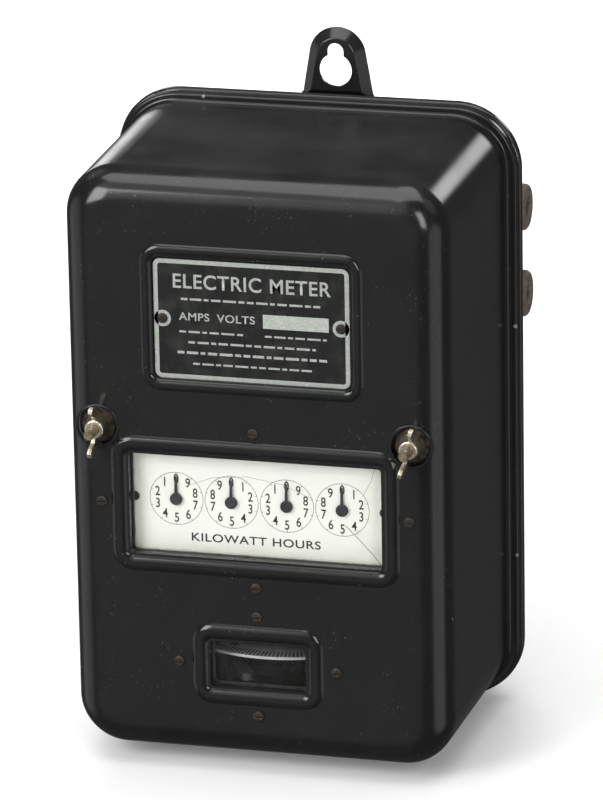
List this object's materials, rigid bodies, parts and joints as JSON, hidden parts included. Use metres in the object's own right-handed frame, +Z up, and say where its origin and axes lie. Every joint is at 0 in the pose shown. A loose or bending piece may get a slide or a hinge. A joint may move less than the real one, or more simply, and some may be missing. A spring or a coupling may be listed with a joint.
{
  "type": "dial watt-hour meter",
  "caption": "Wall-mounted electric meter: black pressed-steel case with a row of pointer dials, a disc window, wing-nut cover and a keyhole hanging lug.",
  "frame": {"origin": "centre of the flat back (wall) face of the base", "axes": "+X to the right seen from the front, +Y into the wall, +Z up; the dials face -Y"},
  "size_m": [0.1886, 0.172, 0.3064],
  "materials": {
    "enamel": "satin baked black enamel",
    "enamel_base": "satin black enamel",
    "nickel": "dull nickel, tarnished",
    "rust_steel": "blued steel gone brown",
    "steel": "machined",
    "brass": "lacquered brass",
    "black_metal": "matt black",
    "plate": "etched black plate with bare metal lettering",
    "dial": "matt off-white enamel",
    "glass": "clear pane",
    "felt": "felt strip",
    "moulded": "moulded composition",
    "porcelain": "glazed ceramic",
    "casting": "black japanned casting",
    "disc": "spun aluminium",
    "magnet": "dark lacquered magnet steel",
    "winding": "cotton-covered copper winding",
    "silver": "silver segments"
  },
  "bodies": {
    "base": {"base_pan": "enamel_base", "hanger_bracket": "enamel_base", "hanger_rivets": "enamel_base", "gasket": "felt", "cover_studs": "nickel", "wire_bushings": "moulded", "bushing_nuts": "moulded", "terminal_block_left": "porcelain", "terminal_block_right": "porcelain", "terminals": "brass", "terminal_screws": "nickel", "main_frame": "casting", "frame_screws": "steel", "magnet_left": "magnet", "magnet_right": "magnet", "magnet_screws": "steel", "current_coil_left": "winding", "current_coil_right": "winding", "coil_clamps": "brass", "coil_screws": "steel", "light_load_coil": "winding", "light_load_bar": "brass", "resistor": "porcelain", "resistor_bracket": "steel", "top_bearing": "brass", "jewel_screw": "brass", "brush_block": "moulded", "register_rear_plate": "brass", "register_front_plate": "brass", "register_screws": "steel", "arbor_cock": "brass", "dial_plate": "dial", "dial_screws": "rust_steel"},
    "cover_body": {"cover": "enamel", "nameplate": "plate", "small_screws": "rust_steel", "glass_panes": "glass", "glass_frames": "steel"},
    "washer_left_body": {"washer_left": "nickel"},
    "washer_right_body": {"washer_right": "nickel"},
    "wing_nut_left_body": {"wing_nut_left": "nickel"},
    "wing_nut_right_body": {"wing_nut_right": "nickel"},
    "rotor": {"rotor_shaft": "steel", "brake_disc": "disc", "armature": "winding", "commutator": "silver"},
    "worm_arbor_body": {"worm_arbor": "brass"},
    "first_arbor_body": {"first_arbor": "brass"},
    "second_arbor_body": {"second_arbor": "brass"},
    "units_body": {"units_arbor": "brass", "units_pointer": "black_metal"},
    "tens_body": {"tens_arbor": "brass", "tens_pointer": "black_metal"},
    "hundreds_body": {"hundreds_arbor": "brass", "hundreds_pointer": "black_metal"},
    "thousands_body": {"thousands_arbor": "brass", "thousands_pointer": "black_metal"},
    "brush_left_body": {"brush_arm_left": "silver"},
    "brush_right_body": {"brush_arm_right": "silver"},
    "arrest_lever_body": {"arrest_lever": "steel"}
  },
  "joints": [
    {"name": "cover_slide", "type": "slide", "parent": "base", "child": "cover_body", "axis": [0, -1, 0], "range_m": [0, 0.15]},
    {"name": "washer_left_lift", "type": "slide", "parent": "cover_body", "child": "washer_left_body", "axis": [0, -1, 0], "range_m": [0, 0.01693]},
    {"name": "wing_nut_left_turn", "type": "hinge", "parent": "washer_left_body", "child": "wing_nut_left_body", "pos_m": [-0.0716, -0.16, 0.0183], "axis": [0, -1, 0], "range_deg": [0, 5760]},
    {"name": "washer_right_lift", "type": "slide", "parent": "cover_body", "child": "washer_right_body", "axis": [0, -1, 0], "range_m": [0, 0.01693]},
    {"name": "wing_nut_right_turn", "type": "hinge", "parent": "washer_right_body", "child": "wing_nut_right_body", "pos_m": [0.0716, -0.16, 0.0183], "axis": [0, -1, 0], "range_deg": [0, 5760]},
    {"name": "rotor_spin", "type": "hinge", "parent": "base", "child": "rotor", "pos_m": [0, -0.088, -0.091], "axis": [0, 0, 1], "continuous": true},
    {"name": "worm_arbor_spin", "type": "hinge", "parent": "base", "child": "worm_arbor_body", "pos_m": [0.023, -0.14, 0.0303], "axis": [0, -1, 0], "continuous": true},
    {"name": "first_arbor_spin", "type": "hinge", "parent": "base", "child": "first_arbor_body", "pos_m": [0.01876, -0.14, 0.01711], "axis": [0, -1, 0], "continuous": true},
    {"name": "second_arbor_spin", "type": "hinge", "parent": "base", "child": "second_arbor_body", "pos_m": [0.0381, -0.14, 0.0095], "axis": [0, -1, 0], "continuous": true},
    {"name": "units_spin", "type": "hinge", "parent": "base", "child": "units_body", "pos_m": [0.0381, -0.14, -0.0159], "axis": [0, -1, 0], "continuous": true},
    {"name": "tens_spin", "type": "hinge", "parent": "base", "child": "tens_body", "pos_m": [0.0127, -0.14, -0.0159], "axis": [0, -1, 0], "continuous": true},
    {"name": "hundreds_spin", "type": "hinge", "parent": "base", "child": "hundreds_body", "pos_m": [-0.0127, -0.14, -0.0159], "axis": [0, -1, 0], "continuous": true},
    {"name": "thousands_spin", "type": "hinge", "parent": "base", "child": "thousands_body", "pos_m": [-0.0381, -0.14, -0.0159], "axis": [0, -1, 0], "continuous": true},
    {"name": "brush_left_swing", "type": "hinge", "parent": "base", "child": "brush_left_body", "pos_m": [-0.015, -0.07, 0.074], "axis": [0, 0, -1], "range_deg": [0, 10], "stiffness_Nm_per_rad": 0.002, "springref_deg": -5.73},
    {"name": "brush_right_swing", "type": "hinge", "parent": "base", "child": "brush_right_body", "pos_m": [0.015, -0.07, 0.074], "axis": [0, 0, 1], "range_deg": [0, 10], "stiffness_Nm_per_rad": 0.002, "springref_deg": -5.73},
    {"name": "arrest_lever_swing", "type": "hinge", "parent": "base", "child": "arrest_lever_body", "pos_m": [-0.033, -0.108, -0.1], "axis": [0, 0, 1], "range_deg": [0, 45]}
  ],
  "couplings": [
    {"joint": "wing_nut_left_turn", "follows": "washer_left_lift", "rad_per_m": 5936.9},
    {"joint": "wing_nut_right_turn", "follows": "washer_right_lift", "rad_per_m": 5936.9},
    {"joint": "worm_arbor_spin", "follows": "rotor_spin", "ratio": 0.01},
    {"joint": "first_arbor_spin", "follows": "rotor_spin", "ratio": -0.002},
    {"joint": "second_arbor_spin", "follows": "rotor_spin", "ratio": 0.00025},
    {"joint": "units_spin", "follows": "rotor_spin", "ratio": -0.000025},
    {"joint": "tens_spin", "follows": "rotor_spin", "ratio": 0.0000025},
    {"joint": "hundreds_spin", "follows": "rotor_spin", "ratio": -0.00000025},
    {"joint": "thousands_spin", "follows": "rotor_spin", "ratio": 0.000000025}
  ]
}
